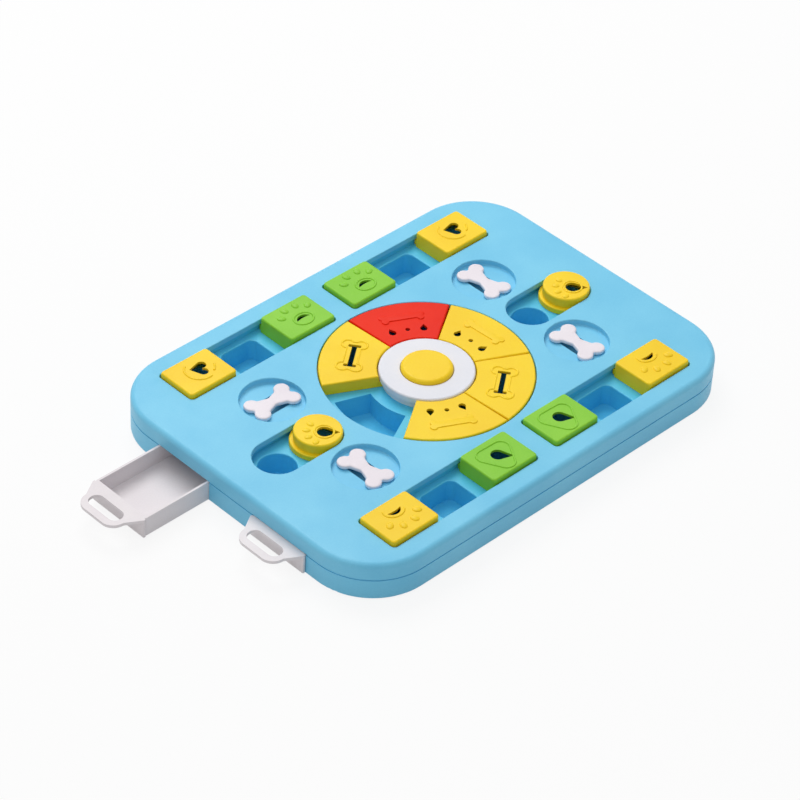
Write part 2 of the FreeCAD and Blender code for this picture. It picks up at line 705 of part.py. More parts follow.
def build_tray(label, x, y):
    """Tray under one straight track: a rail floor with three deep wells."""
    body = new_body(label)
    inside_length = "(%s + 2 * Sizes.tray_side_gap)" % TRACK_LENGTH
    rim = rounded_rectangle(
        body,
        "rim",
        "(%s + 2 * Sizes.tray_wall)" % inside_length,
        "(%s + 2 * Sizes.tray_wall)" % TRAY_INSIDE,
        "(Sizes.slider_corner + Sizes.tray_wall)",
        z="%s - Sizes.tray_plate" % TRAY_Z,
    )
    pad(body, rim, "Sizes.tray_plate + Sizes.tray_drop - Sizes.cover_plate")
    for number in (-1, 0, 1):
        place = "%d * Sizes.slot_pitch" % number
        cup = rounded_rectangle(
            body,
            "cup_%d" % (number + 2),
            "(Sizes.well_length + 2 * Sizes.well_wall)",
            "(Sizes.well_width + 2 * Sizes.well_wall)",
            "(Sizes.well_corner + Sizes.well_wall)",
            x=place,
            z=FLOOR_Z,
        )
        pad(body, cup, "%s - %s - Sizes.tray_plate / 2" % (TRAY_Z, FLOOR_Z))
    channel = rounded_rectangle(
        body,
        "channel",
        inside_length,
        TRAY_INSIDE,
        S + "slider_corner",
        z="%s - Sizes.cover_plate" % TOP_Z,
    )
    pocket(body, channel, "Sizes.tray_drop - Sizes.cover_plate")
    for number in (-1, 0, 1):
        place = "%d * Sizes.slot_pitch" % number
        well = rounded_rectangle(
            body,
            "well_%d" % (number + 2),
            S + "well_length",
            S + "well_width",
            S + "well_corner",
            x=place,
            z=TRAY_Z,
        )
        pocket(body, well, "%s - %s - Sizes.well_wall" % (TRAY_Z, FLOOR_Z))
    edge_y = number_of("well_width") / 2 + number_of("well_edge_round") / 2
    round_edges(
        body,
        S + "well_edge_round",
        tray_z,
        keep=lambda edge: abs(edge.BoundBox.YMax) < edge_y,
    )
    move_body(body, x, y)


def build_round_tray(label, x):
    """Tray under one round track: a rail floor with two deep round wells."""
    body = new_body(label)
    inside = "(Sizes.round_foot_radius + Sizes.tray_side_gap)"
    rim = capsule(
        body,
        "rim",
        S + "round_pitch",
        "(%s + Sizes.tray_wall)" % inside,
        z="%s - Sizes.tray_plate" % TRAY_Z,
    )
    pad(body, rim, "Sizes.tray_plate + Sizes.tray_drop - Sizes.cover_plate")
    for name, sign in (("outer", ""), ("inner", "-")):
        cup = circle(
            body,
            "cup_" + name,
            "Sizes.round_well_radius + Sizes.well_wall",
            sign + "Sizes.round_pitch / 2",
            "0",
            FLOOR_Z,
        )
        pad(body, cup, "%s - %s - Sizes.tray_plate / 2" % (TRAY_Z, FLOOR_Z))
    channel = capsule(
        body, "channel", S + "round_pitch", inside, z="%s - Sizes.cover_plate" % TOP_Z
    )
    pocket(body, channel, "Sizes.tray_drop - Sizes.cover_plate")
    for name, sign in (("outer", ""), ("inner", "-")):
        well = circle(
            body,
            "well_" + name,
            S + "round_well_radius",
            sign + "Sizes.round_pitch / 2",
            "0",
            TRAY_Z,
        )
        pocket(body, well, "%s - %s - Sizes.well_wall" % (TRAY_Z, FLOOR_Z))
    edge_y = number_of("round_well_radius") + number_of("well_edge_round") / 2
    round_edges(
        body,
        S + "well_edge_round",
        tray_z,
        keep=lambda edge: abs(edge.BoundBox.YMax) < edge_y,
    )
    move_body(body, x, "0")


def build_wheel_tray():
    """Round tray under the wheel: six wells about the squeaker's cup."""
    body = new_body("wheel_tray")
    rim = circle(
        body,
        "rim",
        "%s + Sizes.tray_wall" % WHEEL_INSIDE,
        z="%s - Sizes.tray_plate" % TRAY_Z,
    )
    pad(body, rim, "Sizes.tray_plate + Sizes.tray_drop - Sizes.cover_plate")
    channel = circle(body, "channel", WHEEL_INSIDE, z=PLATE_Z)
    pocket(body, channel, "Sizes.tray_drop - Sizes.cover_plate")
    squeaker_cup = circle(
        body, "squeaker_cup", "%s + Sizes.well_wall" % BUTTON_ROOM, z=FLOOR_Z
    )
    pad(body, squeaker_cup, "%s - %s - Sizes.tray_plate / 2" % (TRAY_Z, FLOOR_Z))
    squeaker_well = circle(body, "squeaker_well", BUTTON_ROOM, z=TRAY_Z)
    pocket(body, squeaker_well, "%s - %s - Sizes.well_wall" % (TRAY_Z, FLOOR_Z))
    screw_hole = circle(
        body,
        "screw_hole",
        "Sizes.screw_radius + Sizes.screw_slack",
        x=S + "hub_screw_circle",
        z=TRAY_Z,
    )
    hole = pocket(body, screw_hole, "Sizes.tray_plate + 1")
    polar_copies(body, [hole], 3)
    cup = sector(
        body,
        "cup",
        "Sizes.wheel_well_inner - Sizes.well_wall",
        "Sizes.wheel_well_outer + Sizes.well_wall",
        "Sizes.wheel_well_angle + 4",
        z=FLOOR_Z,
        turn=S + "wheel_first_angle",
    )
    cups = pad(body, cup, "%s - %s - Sizes.tray_plate / 2" % (TRAY_Z, FLOOR_Z))
    polar_copies(body, [cups], 6)
    well = sector(
        body,
        "well",
        S + "wheel_well_inner",
        S + "wheel_well_outer",
        S + "wheel_well_angle",
        z=TRAY_Z,
        turn=S + "wheel_first_angle",
    )
    wells = pocket(body, well, "%s - %s - Sizes.well_wall" % (TRAY_Z, FLOOR_Z))
    polar_copies(body, [wells], 6)




def build_hub():
    """White ring that holds the wedges' inner ends down and guides the button."""
    body = new_body("hub_ring")
    neck = circle(body, "neck", HUB_NECK, z=TRAY_Z)
    pad(body, neck, "Sizes.tray_drop + Sizes.hub_rise")
    cap = circle(body, "cap", S + "hub_radius", z="%s + Sizes.hub_rise - Sizes.hub_lip" % TOP_Z)
    pad(body, cap, S + "hub_lip")
    round_edges(body, S + "hub_round", top_z + number_of("hub_rise"))
    bore = circle(
        body, "bore", "Sizes.button_radius + Sizes.button_gap", z="%s + Sizes.hub_rise" % TOP_Z
    )
    pocket(body, bore, "Sizes.tray_drop + Sizes.hub_rise + 1")
    room = circle(body, "room", BUTTON_ROOM, z=TRAY_Z)
    pocket(body, room, "Sizes.tray_drop - Sizes.cover_plate + Sizes.running_gap", upwards=True)
    pilot = circle(
        body,
        "pilot",
        "Sizes.screw_radius + Sizes.pilot_slack",
        x=S + "hub_screw_circle",
        z=TRAY_Z,
    )
    hole = pocket(body, pilot, "Sizes.screw_bite + 1", upwards=True)
    polar_copies(body, [hole], 3)


def build_hub_screws():
    """Three screws that hold the hub ring on the wheel tray, one node."""
    body = new_body("hub_screws")
    head_z = "%s - Sizes.tray_plate - Sizes.screw_head_height" % TRAY_Z
    head = circle(body, "head", S + "screw_head_radius", x=S + "hub_screw_circle", z=head_z)
    heads = pad(body, head, S + "screw_head_height")
    shank = circle(body, "shank", S + "screw_radius", x=S + "hub_screw_circle", z=head_z)
    shanks = pad(
        body, shank, "Sizes.screw_head_height + Sizes.tray_plate + Sizes.screw_bite"
    )
    polar_copies(body, [heads, shanks], 3)


def build_button():
    """Yellow squeak button: a domed cap with a flange that the hub ring holds in."""
    body = new_body("press_button")
    flange_z = "(%s - Sizes.running_gap - Sizes.button_flange_height)" % PLATE_Z
    cap = circle(body, "cap", S + "button_radius", z=flange_z)
    cap_height = "%s + Sizes.button_rise - %s" % (TOP_Z, flange_z)
    pad(body, cap, cap_height)
    round_edges(body, S + "button_round", top_z + number_of("button_rise"))
    flange = circle(body, "flange", "Sizes.button_radius + Sizes.button_flange", z=flange_z)
    pad(body, flange, S + "button_flange_height")
    hollow = circle(body, "hollow", "Sizes.button_radius - Sizes.button_wall", z=flange_z)
    pocket(body, hollow, "%s - Sizes.button_wall" % cap_height, upwards=True)
    post = circle(body, "post", S + "bellows_radius", z=flange_z)
    pad(body, post, "%s - Sizes.button_wall / 2" % cap_height)


def build_squeaker():
    """Soft bellows that the button squeezes, on a hard reed disc."""
    reed = new_body("squeaker_reed")
    reed_z = "%s + Sizes.well_wall" % FLOOR_Z
    disc = circle(reed, "disc", S + "reed_radius", z=reed_z)
    pad(reed, disc, S + "reed_height")
    throat = circle(reed, "throat", "Sizes.reed_radius / 4", z=reed_z)
    pocket(reed, throat, "Sizes.reed_height + 1", upwards=True)
    bellows = new_body("squeaker_bellows")
    bellows_z = "(%s + Sizes.reed_height)" % reed_z
    height = "(%s - 2 * Sizes.running_gap - Sizes.button_flange_height - %s)" % (
        PLATE_Z,
        bellows_z,
    )
    folds = 3
    for number in range(folds):
        start = "%s + %d * %s / %d" % (bellows_z, number, height, folds)
        fold = circle(bellows, "fold_%d" % (number + 1), S + "bellows_radius", z=start)
        pad(bellows, fold, "%s / %d" % (height, folds) + " * 0.7")
    core = circle(bellows, "core", "Sizes.bellows_radius * 0.8", z=bellows_z)
    pad(bellows, core, height)
    air = circle(bellows, "air", "Sizes.bellows_radius * 0.65", z=bellows_z)
    pocket(bellows, air, "%s - Sizes.well_wall" % height, upwards=True)


def cut_hole(body, kind, turn, x, y, height):
    """Cut one finger hole through a cover's top."""
    if kind == "heart":
        hole = heart(body, "hole", S + "heart_lobe", S + "heart_tip", x, y, height, turn)
    elif kind == "crescent":
        hole = crescent(
            body,
            "hole",
            S + "crescent_chord",
            S + "crescent_outer",
            S + "crescent_inner",
            x,
            y,
            height,
            turn,
        )
    else:
        hole = teardrop(body, "hole", S + "leaf_radius", S + "leaf_tip", x, y, height, turn)
    pocket(body, hole, "Sizes.slider_wall + 1")


def build_slider(label, x, y, kind, turn, hole_x, hole_y):
    """Hollow block cover with two side rails under the casing's plate."""
    body = new_body(label)
    block_height = "(Sizes.tray_drop - Sizes.running_gap + Sizes.slider_rise)"
    block = rounded_rectangle(
        body,
        "block",
        S + "slider_length",
        S + "slider_width",
        S + "slider_corner",
        z=COVER_Z,
    )
    pad(body, block, block_height, taper="-Sizes.slider_draft")
    round_edges(body, S + "slider_top_round", top_z + number_of("slider_rise"))
    rails = rounded_rectangle(
        body,
        "rails",
        "(Sizes.slider_length - 2 * Sizes.slider_rail)",
        "(Sizes.slider_width + 2 * Sizes.slider_rail)",
        "1",
        z=COVER_Z,
    )
    pad(body, rails, S + "rail_height")
    hollow = rounded_rectangle(
        body,
        "hollow",
        "(Sizes.slider_length - 2 * Sizes.slider_wall - 2 * Sizes.slider_rail)",
        "(Sizes.slider_width - 2 * Sizes.slider_wall)",
        "1",
        z=COVER_Z,
    )
    pocket(body, hollow, "%s - Sizes.slider_wall" % block_height, upwards=True)
    top = "%s + Sizes.slider_rise" % TOP_Z
    cut_hole(body, kind, turn, hole_x, hole_y, top)
    move_body(body, x, y)


def build_round_slider(label, x, turn):
    """Round cover with a wide foot under the casing's plate."""
    body = new_body(label)
    height = "(Sizes.tray_drop - Sizes.running_gap + Sizes.slider_rise)"
    drum = circle(body, "drum", S + "round_slider_radius", z=COVER_Z)
    pad(body, drum, height)
    round_edges(body, S + "slider_top_round", top_z + number_of("slider_rise"))
    foot = circle(body, "foot", S + "round_foot_radius", z=COVER_Z)
    pad(body, foot, S + "rail_height")
    foot_top = tray_z + number_of("running_gap") + number_of("rail_height")
    foot_edge = number_of("round_foot_radius") - 0.01
    round_edges(
        body,
        S + "foot_round",
        foot_top,
        keep=lambda edge: edge.BoundBox.XMax > foot_edge,
    )
    hollow = circle(body, "hollow", "Sizes.round_slider_radius - Sizes.slider_wall", z=COVER_Z)
    pocket(body, hollow, "%s - Sizes.slider_wall" % height, upwards=True)
    top = "%s + Sizes.slider_rise" % TOP_Z
    cut_hole(body, "leaf", turn, S + "paw_hole_x", "-Sizes.paw_hole_y", top)
    move_body(body, x, "0")


def build_wedge(label, slot, kind):
    """Wheel cover: a hollow ring sector with rails under the plate and the hub ring."""
    body = new_body(label)
    height = "(Sizes.tray_drop - Sizes.running_gap + Sizes.wedge_rise)"
    inner = "(Sizes.hub_radius + Sizes.wedge_rim_gap)"
    block = sector(body, "block", inner, WEDGE_RADIUS, S + "wedge_angle", z=COVER_Z)
    pad(body, block, height)
    round_edges(body, S + "wedge_top_round", top_z + number_of("wedge_rise"))
    rails = sector(
        body,
        "rails",
        "(%s + Sizes.running_gap)" % HUB_NECK,
        "(%s + Sizes.wedge_rail)" % WEDGE_RADIUS,
        S + "wedge_angle",
        z=COVER_Z,
    )
    pad(body, rails, S + "rail_height")
    hollow = sector(
        body,
        "hollow",
        "(%s + Sizes.wedge_wall)" % inner,
        "(%s - Sizes.wedge_wall)" % WEDGE_RADIUS,
        "(Sizes.wedge_angle - 2 * Sizes.wedge_wall)",
        z=COVER_Z,
    )
    pocket(body, hollow, "%s - Sizes.wedge_wall" % height, upwards=True)
    top = "%s + Sizes.wedge_rise" % TOP_Z
    if kind == "bar":
        cut_bar_hole(body, top)
    else:
        cut_dot_holes(body, top)
    move_body(body, angle="Sizes.wheel_first_angle + %d" % (60 * slot))


def cut_bar_hole(body, top):
    """Cut a long hole with a crossbar at each end, across the wedge's middle line."""
    turn = "(90 + Sizes.bar_hole_lean) * 1 deg"
    bar = rounded_rectangle(
        body,
        "bar",
        S + "bar_hole_length",
        S + "bar_hole_width",
        "0.8",
        x=S + "bar_hole_circle",
        z=top,
        turn=turn,
    )
    pocket(body, bar, "Sizes.wedge_wall + 1")
    for name, sign in (("near", "-"), ("far", "")):
        step = sign + "(Sizes.bar_hole_length - Sizes.bar_end_width) / 2"
        end = rounded_rectangle(
            body,
            "bar_end_" + name,
            S + "bar_end_width",
            S + "bar_end_length",
            "0.8",
            x="Sizes.bar_hole_circle + %s * cos(%s)" % (step, turn),
            y="%s * sin(%s)" % (step, turn),
            z=top,
            turn=turn,
        )
        pocket(body, end, "Sizes.wedge_wall + 1")


def cut_dot_holes(body, top):
    """Cut a small round hole between two drop-shaped ones."""
    middle = circle(
        body, "dot", S + "wedge_mid_hole_radius", x=S + "wedge_hole_circle", z=top
    )
    pocket(body, middle, "Sizes.wedge_wall + 1")
    for name, sign in (("left", ""), ("right", "-")):
        angle = "(%sSizes.wedge_hole_angle) * 1 deg" % sign
        drop = teardrop(
            body,
            "drop_" + name,
            S + "wedge_hole_radius",
            S + "wedge_hole_tip",
            x="Sizes.wedge_hole_circle * cos(%s)" % angle,
            y="Sizes.wedge_hole_circle * sin(%s)" % angle,
            z=top,
            turn=angle,
        )
        pocket(body, drop, "Sizes.wedge_wall + 1")


def build_bone(label, x, y, turn):
    """Lift-out bone: a bar with four knobs."""
    body = new_body(label)
    start = "%s + Sizes.running_gap" % DISH_Z
    waist = rounded_rectangle(
        body,
        "waist",
        "(Sizes.bone_length - 2 * Sizes.bone_knob)",
        S + "bone_waist",
        "1",
        z=start,
    )
    pad(body, waist, S + "bone_height")
    for name, sx, sy in (
        ("ne", "", ""),
        ("nw", "-", ""),
        ("sw", "-", "-"),
        ("se", "", "-"),
    ):
        knob = circle(
            body,
            "knob_" + name,
            S + "bone_knob",
            sx + "(Sizes.bone_length / 2 - Sizes.bone_knob)",
            sy + "(Sizes.bone_span / 2 - Sizes.bone_knob)",
            start,
        )
        pad(body, knob, S + "bone_height")
    move_body(body, x, y, "0", turn)


def build_drawer(label, y, pull):
    """Treat drawer: open box, front panel and a flat loop handle at the rim."""
    body = new_body(label)
    bottom = "(%s + Sizes.running_gap)" % BAY_Z
    height = "(%s - Sizes.drawer_top_gap - %s)" % (SEAM_Z, bottom)
    rim = "(%s - Sizes.drawer_top_gap)" % SEAM_Z
    box = rounded_rectangle(
        body,
        "box",
        "(Sizes.drawer_length + Sizes.running_gap)",
        S + "drawer_width",
        S + "drawer_corner",
        x="(Sizes.drawer_length - Sizes.running_gap) / 2",
        z=bottom,
    )
    pad(body, box, height)
    panel = rounded_rectangle(
        body,
        "panel",
        "(Sizes.panel_thickness + Sizes.running_gap)",
        "(Sizes.drawer_width + 2 * Sizes.panel_overlap)",
        "0.6",
        x="-(Sizes.panel_thickness - Sizes.running_gap) / 2 - 2 * Sizes.running_gap",
        z=bottom,
    )
    pad(body, panel, height)
    handle = rounded_rectangle(
        body,
        "handle",
        "(2 * Sizes.handle_reach)",
        S + "handle_width",
        S + "handle_corner",
        x="-Sizes.panel_thickness",
        z="%s - Sizes.handle_height" % rim,
    )
    pad(body, handle, S + "handle_height")
    flare = taper_plate(
        body,
        "flare",
        "(Sizes.drawer_width + 2 * Sizes.panel_overlap)",
        S + "handle_width",
        "(Sizes.handle_reach - Sizes.handle_corner)",
        x="-Sizes.panel_thickness",
        z="%s - Sizes.handle_height" % rim,
    )
    pad(body, flare, S + "handle_height")
    inside = rounded_rectangle(
        body,
        "inside",
        "(Sizes.drawer_length - 2 * Sizes.drawer_wall)",
        "(Sizes.drawer_width - 2 * Sizes.drawer_wall)",
        "(Sizes.drawer_corner - Sizes.drawer_wall / 2)",
        x="Sizes.drawer_length / 2",
        z=rim,
    )
    pocket(body, inside, "%s - Sizes.drawer_floor" % height)
    gap_width = "(Sizes.handle_reach - Sizes.handle_hole_start - Sizes.handle_bar)"
    grip = rounded_rectangle(
        body,
        "grip",
        gap_width,
        S + "handle_hole_width",
        "%s / 2.1" % gap_width,
        x="-Sizes.panel_thickness - Sizes.handle_hole_start - %s / 2" % gap_width,
        z=rim,
    )
    pocket(body, grip, "Sizes.handle_height + 1")
    move_body(body, "-Sizes.shell_length / 2 - %s" % pull, y)


HEART_HOLE = ("heart", "152 deg", S + "heart_x", S + "heart_y")
PAW_HOLE = ("crescent", "180 deg", S + "paw_hole_x", "-Sizes.paw_hole_y")
MOON_HOLE = ("crescent", "0 deg", S + "moon_hole_x", S + "moon_hole_y")
LEAF_HOLE = ("leaf", "-45 deg", "0", S + "heart_y")
OUTER_X = "Sizes.track_middle_x + Sizes.slot_pitch"
INNER_X = "Sizes.track_middle_x - Sizes.slot_pitch"
SLIDERS = [
    ("slider_yellow_a", OUTER_X, "Sizes.track_y", HEART_HOLE),
    ("slider_green_a", INNER_X, "Sizes.track_y", PAW_HOLE),
    ("slider_green_b", "-(%s)" % INNER_X, "Sizes.track_y", PAW_HOLE),
    ("slider_yellow_b", "-(%s)" % OUTER_X, "Sizes.track_y", HEART_HOLE),
    ("slider_yellow_c", OUTER_X, "-Sizes.track_y", MOON_HOLE),
    ("slider_green_c", INNER_X, "-Sizes.track_y", LEAF_HOLE),
    ("slider_green_d", "-(%s)" % INNER_X, "-Sizes.track_y", LEAF_HOLE),
    ("slider_yellow_d", "-(%s)" % OUTER_X, "-Sizes.track_y", MOON_HOLE),
]
WEDGES = [
    ("wedge_yellow_1", 1, "dots"),
    ("wedge_yellow_2", 2, "bar"),
    ("wedge_yellow_3", 3, "dots"),
    ("wedge_red", 4, "dots"),
    ("wedge_yellow_4", 5, "bar"),
]

build_base()
build_cover()
build_feet()
build_case_screws()
for name, x, y in TRACK_PLACES:
    build_tray("slide_tray_" + name[-1], x, y)
build_round_tray("round_tray_far", S + "round_middle_x")
build_round_tray("round_tray_near", "-Sizes.round_middle_x")
build_wheel_tray()
build_hub()
build_hub_screws()
build_button()
build_squeaker()
for label, x, y, hole in SLIDERS:
    build_slider(label, x, y, *hole)
build_round_slider(
    "round_slider_far", "Sizes.round_middle_x + Sizes.round_pitch / 2", "-45 deg"
)
build_round_slider(
    "round_slider_near", "-Sizes.round_middle_x + Sizes.round_pitch / 2", "-45 deg"
)
for label, slot, kind in WEDGES:
    build_wedge(label, slot, kind)
for name, x, y, turn in DISH_PLACES:
    build_bone(name, x, y, turn)
build_drawer("drawer_left", S + "drawer_y", "Sizes.drawer_pull")
build_drawer("drawer_right", "-Sizes.drawer_y", "0")

doc.recompute()

# Every object must be sound before its STEP file is written.
for item in doc.Objects:
    if "Invalid" in item.State or "Error" in item.State:
        raise RuntimeError("object in error: %s (%s)" % (item.Name, item.Label))
    if item.TypeId == "Sketcher::SketchObject" and not item.FullyConstrained:
        raise RuntimeError("sketch not fully constrained: " + item.Name)
os.makedirs("parts", exist_ok=True)
for body in parts:
    shape = body.Shape
    if shape.isNull() or not shape.isValid():
        raise RuntimeError("bad shape: " + body.Label)
    shape.exportStep("parts/%s.step" % body.Label)
    print(body.Label, round(shape.Volume / 1000, 2), "cm3")
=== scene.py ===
import logging
import math
from dataclasses import dataclass, field
from enum import Enum
from typing import Any, Callable, Iterable, Optional, Sequence, Union

import bpy
from mathutils import Matrix, Vector


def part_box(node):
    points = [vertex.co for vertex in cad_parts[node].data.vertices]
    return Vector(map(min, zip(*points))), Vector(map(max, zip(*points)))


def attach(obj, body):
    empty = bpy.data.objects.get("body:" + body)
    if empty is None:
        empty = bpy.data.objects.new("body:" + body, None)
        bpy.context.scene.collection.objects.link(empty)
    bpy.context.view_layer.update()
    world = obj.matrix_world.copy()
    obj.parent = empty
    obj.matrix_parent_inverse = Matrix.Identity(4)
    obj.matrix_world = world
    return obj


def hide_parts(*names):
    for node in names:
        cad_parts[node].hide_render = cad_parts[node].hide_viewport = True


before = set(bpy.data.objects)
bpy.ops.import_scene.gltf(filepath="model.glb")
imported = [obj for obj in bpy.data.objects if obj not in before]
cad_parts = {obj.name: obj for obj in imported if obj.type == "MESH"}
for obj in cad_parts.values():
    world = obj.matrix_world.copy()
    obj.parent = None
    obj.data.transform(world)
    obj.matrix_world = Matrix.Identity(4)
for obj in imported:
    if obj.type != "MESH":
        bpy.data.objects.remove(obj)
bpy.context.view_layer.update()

LOG = logging.getLogger("feeder")
MM = 0.001
WELD = 0.000002  # metres within which points are one
SINK = 0.15  # mm that a relief starts below its surface
ARC_STEP = 5.0  # degrees between the points of an arc
FULL_RING = 354.0  # degrees of a closed ring's arc, which the ridge closes
Point = tuple[float, float]
Colour = tuple[float, float, float]


# Shader helpers


class Sock:
    """A node socket or a plain number that can be used in a sum or a product."""

    def __init__(self, graph: "Graph", source: Any) -> None:
        """Keep the graph that new Math nodes go to and the socket itself."""
        self.graph = graph
        self.source = source

    def _math(self, operation: str, *values: Any) -> "Sock":
        """Add one Math node.

        Args:
            operation: Blender's name of the sum.
            values: sockets or numbers, in order.

        Returns:
            The node's result.
        """
        slots = {index: value for index, value in enumerate(values)}
        return self.graph.node("ShaderNodeMath", {"operation": operation}, slots)

    def __add__(self, other: Any) -> "Sock":
        """This plus other."""
        return self._math("ADD", self, other)

    def __radd__(self, other: Any) -> "Sock":
        """Other plus this."""
        return self._math("ADD", other, self)

    def __sub__(self, other: Any) -> "Sock":
        """This minus other."""
        return self._math("SUBTRACT", self, other)

    def __mul__(self, other: Any) -> "Sock":
        """This times other."""
        return self._math("MULTIPLY", self, other)

    def __truediv__(self, other: Any) -> "Sock":
        """This divided by other."""
        return self._math("DIVIDE", self, other)

    def clamp(self, low: float, high: float) -> "Sock":
        """This, kept between low and high."""
        return self._math("MINIMUM", self._math("MAXIMUM", self, low), high)

    def smooth(self, low: float, high: float) -> "Sock":
        """Nought below low, one above high, and an even slope between."""
        return ((self - low) / (high - low)).clamp(0.0, 1.0)


class Graph:
    """The node tree of one material or of the world."""

    def __init__(self, tree: bpy.types.NodeTree) -> None:
        """Empty the tree and keep it."""
        self.tree = tree
        tree.nodes.clear()

    def node(
        self,
        kind: str,
        settings: Optional[dict[str, Any]] = None,
        values: Optional[dict[Any, Any]] = None,
        out: Any = 0,
    ) -> Sock:
        """Add a node of any kind.

        Args:
            kind: the node's type.
            settings: properties of the node, set first.
            values: a number, tuple or socket for each input, by name or index.
            out: name or index of the output that is wanted.

        Returns:
            The wanted output.
        """
        made = self.tree.nodes.new(kind)
        for name, setting in (settings or {}).items():
            setattr(made, name, setting)
        for key, value in (values or {}).items():
            socket = made.inputs[key]
            if isinstance(value, Sock):
                self.tree.links.new(value.source, socket)
            else:
                socket.default_value = value
        if not made.outputs:
            return Sock(self, None)
        return Sock(self, made.outputs[out])

    def place(self) -> Sock:
        """The point on the surface, in metres, that goes with the piece."""
        return self.node("ShaderNodeTexCoord", out="Object")

    def noise(self, where: Sock, scale: float, detail: float = 2.0) -> Sock:
        """Even noise from nought to one.

        Args:
            where: the point on the surface.
            scale: waves in a metre.
            detail: octaves.

        Returns:
            The noise's value.
        """
        return self.node(
            "ShaderNodeTexNoise",
            {"noise_dimensions": "3D"},
            {"Vector": where, "Scale": scale, "Detail": detail},
        )

    def blend(self, factor: Any, first: Any, second: Any) -> Sock:
        """Mix two colours.

        Args:
            factor: share of the second colour.
            first: a colour or a socket.
            second: a colour or a socket.

        Returns:
            The mixed colour.
        """
        # Inputs 0, 6 and 7 are the Mix node's factor and its two colours
        slots = {0: factor, 6: _rgba(first), 7: _rgba(second)}
        return self.node("ShaderNodeMix", {"data_type": "RGBA"}, slots, out=2)


def _rgba(value: Any) -> Any:
    """A colour with its alpha, or the socket as it is."""
    return value if isinstance(value, Sock) else (*value, 1.0)


def srgb(red: int, green: int, blue: int) -> Colour:
    """A screen colour as linear light.

    Args:
        red: from 0 to 255.
        green: from 0 to 255.
        blue: from 0 to 255.

    Returns:
        The linear colour.
    """

    def linear(level: int) -> float:
        """One channel as linear light."""
        value = level / 255
        if value <= 0.04045:
            return value / 12.92
        return ((value + 0.055) / 1.055) ** 2.4

    return (linear(red), linear(green), linear(blue))


# Finishes


@dataclass(frozen=True)
class MouldedPlastic:
    """Injection moulded plastic with a fine satin texture."""

    name: str
    colour: Colour
    shade: Colour
    roughness: float = 0.42
    grain: float = 0.00001
    grain_scale: float = 2600.0
    specular: float = 0.36

    def build(self) -> bpy.types.Material:
        """Make the material: slow tint changes, flow marks and a satin grain."""
        material = bpy.data.materials.new(self.name)
        material.use_nodes = True
        graph = Graph(material.node_tree)
        where = graph.place()
        cloud = graph.noise(where, 22.0)
        fleck = graph.noise(where, 700.0, 1.0)
        tint = (cloud * 0.75 + fleck * 0.25).smooth(0.32, 0.68)
        colour = graph.blend(tint, self.shade, self.colour)
        grain = graph.noise(where, self.grain_scale, 3.0)
        scuff = graph.noise(where, 130.0, 3.0).smooth(0.5, 0.8)
        rough = self.roughness + grain * 0.05 + scuff * 0.07
        bump = graph.node(
            "ShaderNodeBump",
            values={
                "Strength": 0.6,
                "Distance": self.grain,
                "Height": grain + fleck * 0.8,
            },
        )
        shader = graph.node(
            "ShaderNodeBsdfPrincipled",
            values={
                "Base Color": colour,
                "Roughness": rough,
                "Normal": bump,
                "IOR": 1.47,
                "Specular IOR Level": self.specular,
            },
        )
        graph.node("ShaderNodeOutputMaterial", values={"Surface": shader})
        return material


@dataclass(frozen=True)
class TurnedSteel:
    """Plated screw steel with fine ring marks."""

    name: str
    colour: Colour

    def build(self) -> bpy.types.Material:
        """Make the material: metal with uneven plating."""
        material = bpy.data.materials.new(self.name)
        material.use_nodes = True
        graph = Graph(material.node_tree)
        where = graph.place()
        cloud = graph.noise(where, 400.0, 3.0)
        dark = tuple(channel * 0.7 for channel in self.colour)
        colour = graph.blend(cloud.smooth(0.35, 0.65), dark, self.colour)
        bump = graph.node(
            "ShaderNodeBump",
            values={"Strength": 0.5, "Distance": 0.00002, "Height": cloud},
        )
        shader = graph.node(
            "ShaderNodeBsdfPrincipled",
            values={
                "Base Color": colour,
                "Metallic": 1.0,
                "Roughness": 0.28 + cloud * 0.15,
                "Normal": bump,
            },
        )
        graph.node("ShaderNodeOutputMaterial", values={"Surface": shader})
        return material


class Finish(Enum):
    """The finishes of the feeder, each with a short name."""

    CASING = "casing_blue"
    TRAY = "tray_blue"
    YELLOW = "cover_yellow"
    GREEN = "cover_green"
    RED = "cover_red"
    RING = "ring_white"
    BONE = "bone_white"
    DRAWER = "drawer_white"
    FEET = "feet_rubber"
    STEEL = "screw_steel"


RECIPES: dict[Finish, Union[MouldedPlastic, TurnedSteel]] = {
    Finish.CASING: MouldedPlastic(
        "sky_blue_plastic", srgb(126, 208, 240), srgb(112, 198, 234), 0.4
    ),
    Finish.TRAY: MouldedPlastic(
        "well_blue_plastic", srgb(94, 204, 241), srgb(80, 193, 234), 0.33
    ),
    Finish.YELLOW: MouldedPlastic(
        "yellow_plastic", srgb(253, 218, 28), srgb(248, 206, 16), 0.42
    ),
    Finish.GREEN: MouldedPlastic(
        "green_plastic", srgb(140, 208, 52), srgb(126, 198, 40), 0.42
    ),
    Finish.RED: MouldedPlastic(
        "red_plastic", srgb(240, 40, 0), srgb(232, 30, 0), 0.46, specular=0.2
    ),
    Finish.RING: MouldedPlastic(
        "ring_white_plastic", srgb(236, 236, 242), srgb(226, 228, 236), 0.4
    ),
    Finish.BONE: MouldedPlastic(
        "bone_white_plastic", srgb(242, 235, 241), srgb(233, 225, 232), 0.42
    ),
    Finish.DRAWER: MouldedPlastic(
        "drawer_white_plastic", srgb(236, 230, 232), srgb(226, 219, 222), 0.36
    ),
    Finish.FEET: MouldedPlastic(
        "soft_grey_rubber",
        srgb(150, 154, 158),
        srgb(134, 138, 142),
        0.75,
        0.00004,
        1500.0,
    ),
    Finish.STEEL: TurnedSteel("screw_steel_plate", (0.62, 0.61, 0.6)),
}


